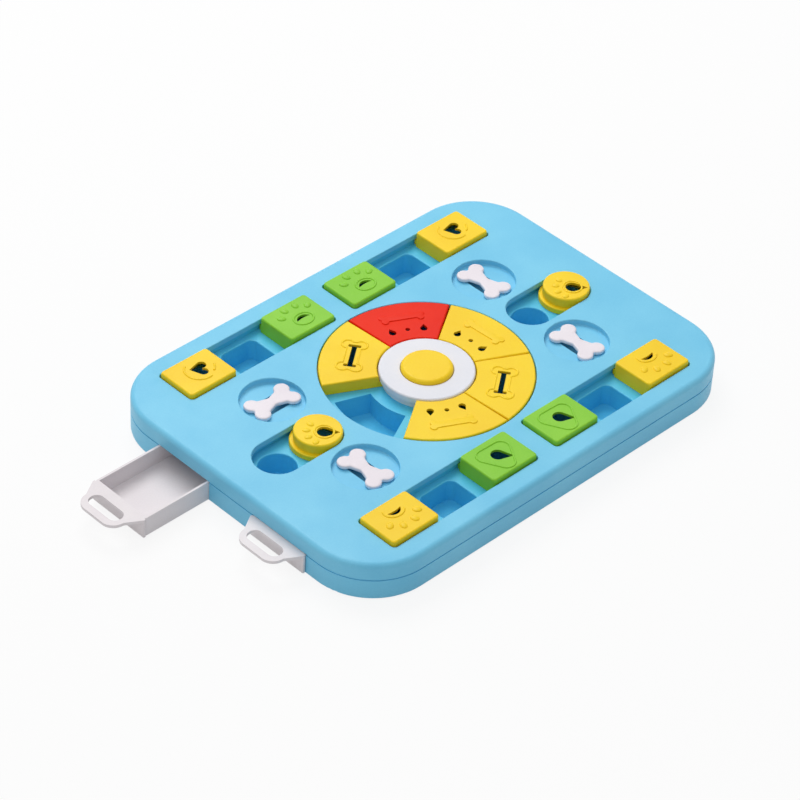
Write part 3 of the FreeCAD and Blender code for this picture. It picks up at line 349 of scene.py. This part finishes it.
class Paintbox:
    """Makes each finish once and gives it to pieces."""

    def __init__(self) -> None:
        """Start with no material made."""
        self.made: dict[Finish, bpy.types.Material] = {}

    def dress(self, piece: bpy.types.Object, finish: Finish) -> None:
        """Give a piece one finish.

        Args:
            piece: the object to dress.
            finish: what it is moulded from.
        """
        if finish not in self.made:
            self.made[finish] = RECIPES[finish].build()
        piece.data.materials.clear()
        piece.data.materials.append(self.made[finish])


PAINT = Paintbox()


# Modelling helpers


def only(piece: bpy.types.Object) -> None:
    """Select one object alone and make it active."""
    for other in list(bpy.context.selected_objects):
        other.select_set(False)
    piece.select_set(True)
    bpy.context.view_layer.objects.active = piece


def edit(piece: bpy.types.Object, work: Callable[[], None]) -> None:
    """Run edit-mode operators on a piece with all of it selected.

    Args:
        piece: a mesh object.
        work: what to do in edit mode.
    """
    only(piece)
    bpy.ops.object.mode_set(mode="EDIT")
    bpy.ops.mesh.select_all(action="SELECT")
    work()
    bpy.ops.object.mode_set(mode="OBJECT")


def settle(piece: bpy.types.Object) -> None:
    """Bring a piece's place, turn and scale into its mesh."""
    only(piece)
    bpy.ops.object.transform_apply(location=True, rotation=True, scale=True)


def add_modifier(piece: bpy.types.Object, kind: str, **settings: Any) -> None:
    """Add a modifier and apply it at once.

    Args:
        piece: a mesh object.
        kind: the modifier's type.
        settings: its properties.
    """
    only(piece)
    modifier = piece.modifiers.new(kind.title(), kind)
    for name, setting in settings.items():
        setattr(modifier, name, setting)
    bpy.ops.object.modifier_apply(modifier=modifier.name)


def smooth(piece: bpy.types.Object, degrees: float = 35.0) -> None:
    """Shade a piece smooth, with creases kept where faces meet at more than degrees."""
    only(piece)
    bpy.ops.object.shade_smooth_by_angle(angle=math.radians(degrees))


def join(pieces: Sequence[bpy.types.Object], name: str) -> bpy.types.Object:
    """Join pieces into one object.

    Args:
        pieces: mesh objects, the first of which keeps its frame.
        name: the joined object's name.

    Returns:
        The joined object.
    """
    only(pieces[0])
    for piece in pieces[1:]:
        piece.select_set(True)
    if len(pieces) > 1:
        bpy.ops.object.join()
    pieces[0].name = name
    pieces[0].data.name = name
    return pieces[0]


def finish_piece(
    piece: bpy.types.Object, body: str, finish: Finish, nodes: Sequence[str] = ()
) -> bpy.types.Object:
    """Make a piece ride on its body, dress it and report it.

    Args:
        piece: the finished mesh, at the origin.
        body: name of the CAD body that carries it.
        finish: what it is moulded from.
        nodes: CAD nodes that it stands for.

    Returns:
        The same piece.
    """
    PAINT.dress(piece, finish)
    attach(piece, body)
    if nodes:
        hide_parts(*nodes)
    LOG.info("%s: %d faces, on %s", piece.name, len(piece.data.polygons), body)
    return piece


def smooth_copy(node: str, body: str, finish: Finish) -> bpy.types.Object:
    """A merged copy of a CAD node with clean, smooth shading, in its place.

    Args:
        node: the CAD node.
        body: the body that carries it.
        finish: what it is moulded from.

    Returns:
        The copy.
    """
    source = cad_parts[node]
    piece = bpy.data.objects.new("skin_" + node, source.data.copy())
    bpy.context.collection.objects.link(piece)

    def weld() -> None:
        """Merge the points that the triangles share."""
        bpy.ops.mesh.customdata_custom_splitnormals_clear()
        bpy.ops.mesh.remove_doubles(threshold=WELD)

    edit(piece, weld)
    smooth(piece, 32.0)
    add_modifier(piece, "WEIGHTED_NORMAL", keep_sharp=True, weight=80)
    return finish_piece(piece, body, finish, (node,))


def path_tube(
    name: str,
    points: Sequence[Point],
    level: float,
    radius: float,
    height: float,
    closed: bool,
) -> bpy.types.Object:
    """A rounded ridge that follows a flat line.

    Args:
        name: the piece's name.
        points: the line, in mm.
        level: height of the ridge's middle, in mm.
        radius: half of its width, in mm.
        height: how far it rises over its middle, in mm.
        closed: True for a ring.

    Returns:
        The ridge.
    """
    bpy.ops.mesh.primitive_circle_add(vertices=len(points), radius=MM)
    ridge = bpy.context.object
    for vertex, (x, y) in zip(ridge.data.vertices, points):
        vertex.co = (x * MM, y * MM, 0.0)
    if not closed:
        last = len(points) - 1
        for edge in ridge.data.edges:
            edge.select = set(edge.vertices) == {0, last}
        for vertex in ridge.data.vertices:
            vertex.select = vertex.index in (0, last)
        only(ridge)
        bpy.ops.object.mode_set(mode="EDIT")
        bpy.ops.mesh.select_mode(type="EDGE")
        bpy.ops.mesh.delete(type="EDGE")
        bpy.ops.object.mode_set(mode="OBJECT")
    only(ridge)
    bpy.ops.object.convert(target="CURVE")
    curve = bpy.context.object
    curve.data.bevel_depth = radius * MM
    curve.data.bevel_resolution = 2
    curve.data.use_fill_caps = True
    bpy.ops.object.convert(target="MESH")
    ridge = bpy.context.object
    ridge.name = name

    def flatten() -> None:
        """Press the tube to its height and close it."""
        bpy.ops.mesh.remove_doubles(threshold=WELD)
        bpy.ops.transform.resize(value=(1.0, 1.0, height / radius))
        bpy.ops.transform.translate(value=(0.0, 0.0, level * MM))
        bpy.ops.mesh.normals_make_consistent(inside=False)

    edit(ridge, flatten)
    settle(ridge)
    smooth(ridge, 60.0)
    return ridge


def pad_dome(
    name: str, x: float, y: float, z: float, half: tuple[float, float, float], turn: float
) -> bpy.types.Object:
    """A low oval dome that stands on a flat top.

    Args:
        name: the piece's name.
        x: place of its middle, in mm.
        y: place of its middle, in mm.
        z: height of the flat top, in mm.
        half: half length, half width and rise, in mm.
        turn: turn about the vertical, in degrees.

    Returns:
        The dome.
    """
    bpy.ops.mesh.primitive_uv_sphere_add(
        segments=28, ring_count=14, radius=MM, location=(x * MM, y * MM, z * MM)
    )
    dome = bpy.context.object
    dome.name = name
    dome.scale = half
    dome.rotation_euler = (0.0, 0.0, math.radians(turn))
    settle(dome)

    def trim() -> None:
        """Cut the hidden lower half away and close the cut."""
        bpy.ops.mesh.bisect(
            plane_co=(0.0, 0.0, (z - SINK) * MM),
            plane_no=(0.0, 0.0, 1.0),
            use_fill=True,
            clear_inner=True,
        )

    edit(dome, trim)
    smooth(dome, 50.0)
    return dome


def raised_plate(
    name: str, points: Sequence[Point], level: float, height: float, edge: float
) -> bpy.types.Object:
    """A flat raised picture with a round edge.

    Args:
        name: the piece's name.
        points: its closed outline, in mm.
        level: height of the surface it stands on, in mm.
        height: how far it rises, in mm.
        edge: radius of its top edge, in mm.

    Returns:
        The plate.
    """
    bpy.ops.mesh.primitive_circle_add(
        vertices=len(points), radius=MM, fill_type="NGON"
    )
    plate = bpy.context.object
    plate.name = name
    for vertex, (x, y) in zip(plate.data.vertices, points):
        vertex.co = (x * MM, y * MM, (level - SINK) * MM)

    def lift() -> None:
        """Draw the outline up into a slab."""
        rise = (0.0, 0.0, (height + SINK) * MM)
        bpy.ops.mesh.extrude_region_move(TRANSFORM_OT_translate={"value": rise})
        bpy.ops.mesh.select_all(action="SELECT")
        bpy.ops.mesh.normals_make_consistent(inside=False)

    edit(plate, lift)
    settle(plate)
    add_modifier(plate, "BEVEL", width=edge * MM, segments=3, angle_limit=1.0)
    smooth(plate, 50.0)
    return plate


def arc(x: float, y: float, radius: float, start: float, end: float) -> list[Point]:
    """Points on an arc, each about ARC_STEP on.

    Args:
        x: the centre, in mm.
        y: the centre, in mm.
        radius: in mm.
        start: first angle, in degrees.
        end: last angle, in degrees.

    Returns:
        The points.
    """
    steps = max(6, round(abs(end - start) / ARC_STEP))
    angles = [math.radians(start + (end - start) * i / steps) for i in range(steps + 1)]
    return [(x + radius * math.cos(a), y + radius * math.sin(a)) for a in angles]


def turned(points: Iterable[Point], x: float, y: float, degrees: float) -> list[Point]:
    """Points turned about the origin, then moved.

    Args:
        points: flat points, in mm.
        x: the move, in mm.
        y: the move, in mm.
        degrees: the turn.

    Returns:
        The new points.
    """
    c, s = math.cos(math.radians(degrees)), math.sin(math.radians(degrees))
    return [(x + c * px - s * py, y + s * px + c * py) for px, py in points]


def top_middle(node: str) -> tuple[float, float, float]:
    """The middle of a CAD node's top at rest.

    Args:
        node: the CAD node.

    Returns:
        X, Y and the top's height, in mm.
    """
    low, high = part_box(node)
    return (low[0] + high[0]) / 2 / MM, (low[1] + high[1]) / 2 / MM, high[2] / MM


def toes(
    place: tuple[float, float, float],
    reach: float,
    angles: Iterable[float],
    half: tuple[float, float, float],
) -> list[bpy.types.Object]:
    """The toes of a paw, fanned out round its pad.

    Args:
        place: middle of the pad on the flat top, in mm.
        reach: from there to each toe, in mm.
        angles: where each toe lies, in degrees.
        half: half length, half width and rise of a toe, in mm.

    Returns:
        The toes.
    """
    x, y, top = place
    made = []
    for degrees in angles:
        toe_x = x + reach * math.cos(math.radians(degrees))
        toe_y = y + reach * math.sin(math.radians(degrees))
        made.append(pad_dome("toe", toe_x, toe_y, top, half, degrees))
    return made


def leaf_line(reach: float, corner: float) -> list[Point]:
    """A triangle with round corners and its first corner along +X.

    Args:
        reach: from the middle to each corner's far side, in mm.
        corner: radius of the corners, in mm.

    Returns:
        The closed line.
    """
    line: list[Point] = []
    for degrees in (0.0, 120.0, 240.0):
        x = (reach - corner) * math.cos(math.radians(degrees))
        y = (reach - corner) * math.sin(math.radians(degrees))
        line += arc(x, y, corner, degrees - 56, degrees + 56)
    return line


def bone_line(length: float, span: float, waist: float, knob: float) -> list[Point]:
    """The outline of a bone, long along X.

    Args:
        length: end to end, in mm.
        span: width over the knobs, in mm.
        waist: width of the shaft, in mm.
        knob: radius of each knob, in mm.

    Returns:
        The closed line.
    """
    cx, cy = length / 2 - knob, span / 2 - knob
    neck = math.degrees(math.asin(min(1.0, (cy - waist / 2) / knob)))
    quarter = arc(cx, cy, knob, -50, 180 + neck)
    upper = quarter + [(-x, y) for x, y in reversed(quarter)]
    lower = [(-x, -y) for x, y in upper]
    return upper + lower


# Sub-assemblies


@dataclass
class Casing:
    """Upper and lower casing, trays, feet and screws."""

    trays: tuple[str, ...] = (
        "slide_tray_a",
        "slide_tray_b",
        "slide_tray_c",
        "slide_tray_d",
        "round_tray_far",
        "round_tray_near",
        "wheel_tray",
    )

    def build(self) -> None:
        """Dress the casings, the trays, the feet and the screws."""
        smooth_copy("top_shell", "casing", Finish.CASING)
        smooth_copy("base_shell", "casing", Finish.CASING)
        for tray in self.trays:
            smooth_copy(tray, "casing", Finish.TRAY)
        PAINT.dress(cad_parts["rubber_feet"], Finish.FEET)
        PAINT.dress(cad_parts["case_screws"], Finish.STEEL)


class Relief(Enum):
    """Raised pictures on the covers."""

    RING = "ring"
    PAW = "paw"
    PAW_TURNED = "paw_turned"
    LEAF = "leaf"


@dataclass
class BlockSlider:
    """A block cover on a straight track with its raised picture."""

    node: str
    finish: Finish
    relief: Relief
    rise: float = 0.7
    line: float = 0.9
    paw_radius: float = 17.3
    toe_angles: tuple[float, ...] = (38.0, 71.0, 109.0, 142.0)
    toe_half: tuple[float, float] = (3.7, 2.8)
    toe_extra: float = 0.4
    pad_span: tuple[float, float] = (150.0, 330.0)
    pad_radius: float = 8.6
    pad_squash: float = 0.8
    paw_hole: tuple[float, float] = (1.8, -4.8)
    moon_hole: tuple[float, float] = (1.2, 7.5)
    ring_radius: float = 11.6
    stroke_radius: float = 12.0
    leaf_reach: float = 16.2
    leaf_corner: float = 7.0
    leaf_turn: float = 148.0

    def build(self) -> None:
        """Dress the cover and put the relief on its top."""
        smooth_copy(self.node, self.node, self.finish)
        x, y, top = top_middle(self.node)
        if self.relief is Relief.RING:
            parts = self._ring(x, y, top)
        elif self.relief is Relief.LEAF:
            parts = self._leaf(x, y, top)
        else:
            parts = self._paw(x, y, top)
        piece = join(parts, "relief_" + self.node)
        finish_piece(piece, self.node, self.finish)

    def _ring(self, x: float, y: float, top: float) -> list[bpy.types.Object]:
        """A broken ring about the finger hole and a short stroke beside it."""
        ring = arc(x + 1.5, y + 1.0, self.ring_radius, 120, 285)
        stroke = arc(x + 4.0, y + 4.0, self.stroke_radius, -62, -22)
        return [
            path_tube("ring", ring, top, self.line, self.rise, False),
            path_tube("stroke", stroke, top, self.line, self.rise, False),
        ]

    def _leaf(self, x: float, y: float, top: float) -> list[bpy.types.Object]:
        """A wide raised leaf round the finger hole."""
        leaf = leaf_line(self.leaf_reach, self.leaf_corner)
        line = turned(leaf, x - 0.5, y + 0.8, self.leaf_turn)
        return [path_tube("leaf", line, top, self.line, self.rise, True)]

    def _paw(self, x: float, y: float, top: float) -> list[bpy.types.Object]:
        """Four toes fanned out from the raised pad round the finger hole."""
        upright = self.relief is Relief.PAW
        hole_x, hole_y = self.paw_hole if upright else self.moon_hole
        way = 1 if upright else -1
        px, py = x + hole_x, y + hole_y
        half = (*self.toe_half, self.rise + self.toe_extra)
        angles = [way * degrees for degrees in self.toe_angles]
        parts = toes((px, py, top), self.paw_radius, angles, half)
        start, end = (0.0, FULL_RING) if upright else self.pad_span
        ring = arc(px, py, self.pad_radius, start, end)
        pad = [(cx, py + (cy - py) * self.pad_squash) for cx, cy in ring]
        parts.append(path_tube("pad", pad, top, self.line, self.rise, upright))
        return parts


@dataclass
class RoundSlider:
    """A round cover with a paw on its top."""

    node: str
    rise: float = 0.65
    line: float = 0.85
    hole_x: float = 1.8
    hole_y: float = -4.8
    paw_radius: float = 13.4
    toe_angles: tuple[float, ...] = (98.0, 132.0, 166.0, 200.0)
    toe_half: tuple[float, float] = (3.2, 2.4)
    toe_extra: float = 0.35
    pad_radius: float = 7.4

    def build(self) -> None:
        """Dress the cover and raise the toes and the pad."""
        smooth_copy(self.node, self.node, Finish.YELLOW)
        x, y, top = top_middle(self.node)
        half = (*self.toe_half, self.rise + self.toe_extra)
        px, py = x + self.hole_x, y + self.hole_y
        parts = toes((px, py, top), self.paw_radius, self.toe_angles, half)
        pad = arc(px, py, self.pad_radius, 0.0, FULL_RING)
        parts.append(path_tube("pad", pad, top, self.line, self.rise, True))
        piece = join(parts, "relief_" + self.node)
        finish_piece(piece, self.node, Finish.YELLOW)


class WedgePicture(Enum):
    """Raised pictures on the wheel's covers."""

    STRIP = "strip"
    BONE = "bone"


@dataclass
class WheelCover:
    """One cover of the wheel."""

    node: str
    slot: int
    finish: Finish
    picture: WedgePicture
    first: float = 183.0
    top: float = 34.6
    rise: float = 0.7
    line: float = 0.95
    bone_place: tuple[float, float] = (59.0, 94.0)
    strip_radius: float = 66.5

    def build(self) -> None:
        """Dress the cover and raise its picture."""
        smooth_copy(self.node, self.node, self.finish)
        angle = self.first + 60.0 * self.slot
        if self.picture is WedgePicture.BONE:
            reach, lean = self.bone_place
            outline = turned(bone_line(37.0, 20.0, 11.0, 4.8), reach, 0.0, lean)
            line = turned(outline, 0.0, 0.0, angle)
            picture = path_tube("line", line, self.top, self.line, self.rise, True)
        else:
            line = turned(self._strip(), 0.0, 0.0, angle)
            picture = raised_plate("strip", line, self.top, self.rise, 0.45)
        piece = join([picture], "relief_" + self.node)
        finish_piece(piece, self.node, self.finish)

    def _strip(self) -> list[Point]:
        """A flat bone shape bent along the wheel, outside the three holes."""
        bone = bone_line(36.0, 11.0, 6.4, 2.9)
        line = []
        for along, across in bone:
            angle = along / self.strip_radius
            radius = self.strip_radius + across
            line.append((radius * math.cos(angle), radius * math.sin(angle)))
        return line


@dataclass
class Hub:
    """White ring, squeak button and what lies below them."""

    def build(self) -> None:
        """Dress the ring, the button and the hidden parts."""
        smooth_copy("hub_ring", "casing", Finish.RING)
        smooth_copy("press_button", "press_button", Finish.YELLOW)
        smooth_copy("squeaker_bellows", "casing", Finish.RING)
        PAINT.dress(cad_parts["squeaker_reed"], Finish.RING)
        PAINT.dress(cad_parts["hub_screws"], Finish.STEEL)


@dataclass
class Bone:
    """A bone with round edges that lies in a dish, in place of the plain CAD one."""

    node: str
    turn: float
    length: float = 42.8
    span: float = 25.4
    waist: float = 9.0
    flare: float = 21.0
    knob: float = 6.3
    notch: float = 3.4
    height_share: float = 0.68
    voxel: float = 0.5
    passes: int = 30

    def build(self) -> None:
        """Grow four knobs and a shaft together and round them off."""
        low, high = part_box(self.node)
        centre = [(low[i] + high[i]) / 2 for i in range(2)]
        height = (high[2] - low[2]) * self.height_share
        middle = low[2] + height / 2
        parts = []
        for sx in (-1, 1):
            for sy in (-1, 1):
                bpy.ops.mesh.primitive_cylinder_add(
                    vertices=48,
                    radius=self.knob * MM,
                    depth=height,
                    location=(
                        sx * (self.length / 2 - self.knob) * MM,
                        sy * (self.span / 2 - self.knob) * MM,
                        0.0,
                    ),
                )
                parts.append(bpy.context.object)
        for side in (-1, 1):
            parts.append(self._half_shaft(side, height))
        for part in parts:
            settle(part)
        piece = join(parts, "puffy_" + self.node)
        add_modifier(piece, "REMESH", mode="VOXEL", voxel_size=self.voxel * MM)
        add_modifier(piece, "SMOOTH", factor=0.5, iterations=self.passes)
        self._fit(piece, height)
        settle(piece)
        piece.rotation_euler = (0.0, 0.0, math.radians(self.turn))
        piece.location = (centre[0], centre[1], middle)
        settle(piece)
        smooth(piece, 60.0)
        finish_piece(piece, self.node, Finish.BONE, (self.node,))

    def _half_shaft(self, side: int, height: float) -> bpy.types.Object:
        """Half of the shaft, narrow in the middle and wide between two knobs."""
        reach = self.length / 2 - self.notch
        bpy.ops.mesh.primitive_cube_add(
            size=MM, location=(side * reach / 2 * MM, 0.0, 0.0)
        )
        half = bpy.context.object
        half.scale = (reach, self.waist, height / MM)
        settle(half)
        only(half)
        bpy.ops.object.mode_set(mode="EDIT")
        bpy.ops.mesh.select_all(action="DESELECT")
        bpy.ops.object.mode_set(mode="OBJECT")
        for vertex in half.data.vertices:
            vertex.select = vertex.co.x * side > reach / 2 * MM
        bpy.ops.object.mode_set(mode="EDIT")
        bpy.ops.mesh.select_mode(type="VERT")
        bpy.ops.transform.resize(value=(1.0, self.flare / self.waist, 1.0))
        bpy.ops.object.mode_set(mode="OBJECT")
        return half

    def _fit(self, piece: bpy.types.Object, height: float) -> None:
        """Give the rounded mesh its full length, width and height again."""
        size = piece.dimensions
        wanted = (self.length * MM, self.span * MM, height)
        piece.scale = tuple(want / have for want, have in zip(wanted, size))


@dataclass
class Drawer:
    """A white drawer with a flat loop handle."""

    node: str

    def build(self) -> None:
        """Dress the drawer."""
        smooth_copy(self.node, self.node, Finish.DRAWER)


@dataclass
class Feeder:
    """The whole feeder, sub-assembly by sub-assembly."""

    casing: Casing = field(default_factory=Casing)
    hub: Hub = field(default_factory=Hub)

    def build(self) -> None:
        """Build everything in order."""
        self.casing.build()
        for letter in "abcd":
            yellow = Relief.RING if letter in "ab" else Relief.PAW_TURNED
            green = Relief.PAW if letter in "ab" else Relief.LEAF
            BlockSlider("slider_yellow_" + letter, Finish.YELLOW, yellow).build()
            BlockSlider("slider_green_" + letter, Finish.GREEN, green).build()
        for side in ("far", "near"):
            RoundSlider("round_slider_" + side).build()
        bone, strip = WedgePicture.BONE, WedgePicture.STRIP
        for node, slot, finish, picture in (
            ("wedge_yellow_1", 1, Finish.YELLOW, strip),
            ("wedge_yellow_2", 2, Finish.YELLOW, bone),
            ("wedge_yellow_3", 3, Finish.YELLOW, strip),
            ("wedge_red", 4, Finish.RED, strip),
            ("wedge_yellow_4", 5, Finish.YELLOW, bone),
        ):
            WheelCover(node, slot, finish, picture).build()
        self.hub.build()
        for number, turn in ((1, 0.0), (2, 90.0), (3, 90.0), (4, 90.0)):
            Bone("bone_%d" % number, turn).build()
        for side in ("left", "right"):
            Drawer("drawer_" + side).build()


# Studio


@dataclass
class Studio:
    """Pale floor, soft lamps and the camera."""

    floor_size: float = 8.0
    sky: float = 0.44
    floor_white: float = 0.88
    lamp_size: float = 1.6
    lens: float = 144.92
    shift_x: float = -0.0312
    shift_y: float = 0.0028
    place: tuple[float, float, float] = (-1.38477, -1.31028, 1.58519)
    right: tuple[float, float, float] = (0.71425759, -0.69831758, 0.04678306)
    up: tuple[float, float, float] = (0.42148841, 0.48254651, 0.76778668)
    ahead: tuple[float, float, float] = (0.55873394, 0.52867895, -0.63899527)

    def build(self) -> None:
        """Add the floor, the lights and the camera."""
        self._floor()
        self._world()
        self._lamp("key", (0.5, 1.3, 2.1), 36.0)
        self._lamp("fill", (-1.2, -0.2, 2.4), 8.0)
        self._camera()

    def _floor(self) -> None:
        """A white floor that still takes the object's shadow."""
        bpy.ops.mesh.primitive_plane_add(size=self.floor_size)
        floor = bpy.context.object
        floor.name = "floor"
        material = bpy.data.materials.new("white_floor")
        material.use_nodes = True
        graph = Graph(material.node_tree)
        matte = graph.node(
            "ShaderNodeBsdfPrincipled",
            values={"Base Color": (0.86, 0.86, 0.86, 1.0), "Roughness": 0.9},
        )
        white = graph.node(
            "ShaderNodeEmission", values={"Color": (1.0, 1.0, 1.0, 1.0), "Strength": 1.0}
        )
        seen = self._seen(graph) * self.floor_white
        mixed = graph.node("ShaderNodeMixShader", values={0: seen, 1: matte, 2: white})
        graph.node("ShaderNodeOutputMaterial", values={"Surface": mixed})
        floor.data.materials.append(material)

    @staticmethod
    def _seen(graph: Graph) -> Sock:
        """One for rays from the camera, mirror rays and rays through clear parts."""
        camera = graph.node("ShaderNodeLightPath", out="Is Camera Ray")
        glossy = graph.node("ShaderNodeLightPath", out="Is Glossy Ray")
        clear = graph.node("ShaderNodeLightPath", out="Is Transmission Ray")
        return (camera + glossy + clear).clamp(0.0, 1.0)

    def _world(self) -> None:
        """Even light from all round, and plain white where the camera looks past."""
        world = bpy.data.worlds.new("studio")
        bpy.context.scene.world = world
        world.use_nodes = True
        graph = Graph(world.node_tree)
        strength = self.sky + self._seen(graph) * (1.0 - self.sky)
        shader = graph.node(
            "ShaderNodeBackground",
            values={"Color": (1.0, 1.0, 1.0, 1.0), "Strength": strength},
        )
        graph.node("ShaderNodeOutputWorld", values={"Surface": shader})

    def _lamp(self, name: str, place: tuple[float, float, float], power: float) -> None:
        """A soft square lamp that points at the feeder."""
        data = bpy.data.lights.new(name, "AREA")
        data.energy = power
        data.size = self.lamp_size
        lamp = bpy.data.objects.new(name, data)
        bpy.context.collection.objects.link(lamp)
        lamp.location = place
        lamp.rotation_euler = (-Vector(place)).to_track_quat("-Z", "Y").to_euler()

    def _camera(self) -> None:
        """The camera at the photograph's place."""
        data = bpy.data.cameras.new("camera")
        data.lens = self.lens
        data.sensor_width = 36.0
        data.shift_x = self.shift_x
        data.shift_y = self.shift_y
        data.clip_end = 20.0
        camera = bpy.data.objects.new("camera", data)
        bpy.context.collection.objects.link(camera)
        back = Vector(self.ahead) * -1.0
        turn = Matrix((Vector(self.right), Vector(self.up), back)).transposed()
        camera.matrix_world = Matrix.Translation(Vector(self.place)) @ turn.to_4x4()
        bpy.context.scene.camera = camera


def main() -> None:
    """Build the studio and the feeder."""
    logging.basicConfig(level=logging.INFO, format="%(message)s")
    scene = bpy.context.scene
    scene.view_settings.view_transform = "Standard"
    Studio().build()
    Feeder().build()


if __name__ == "__main__":
    main()
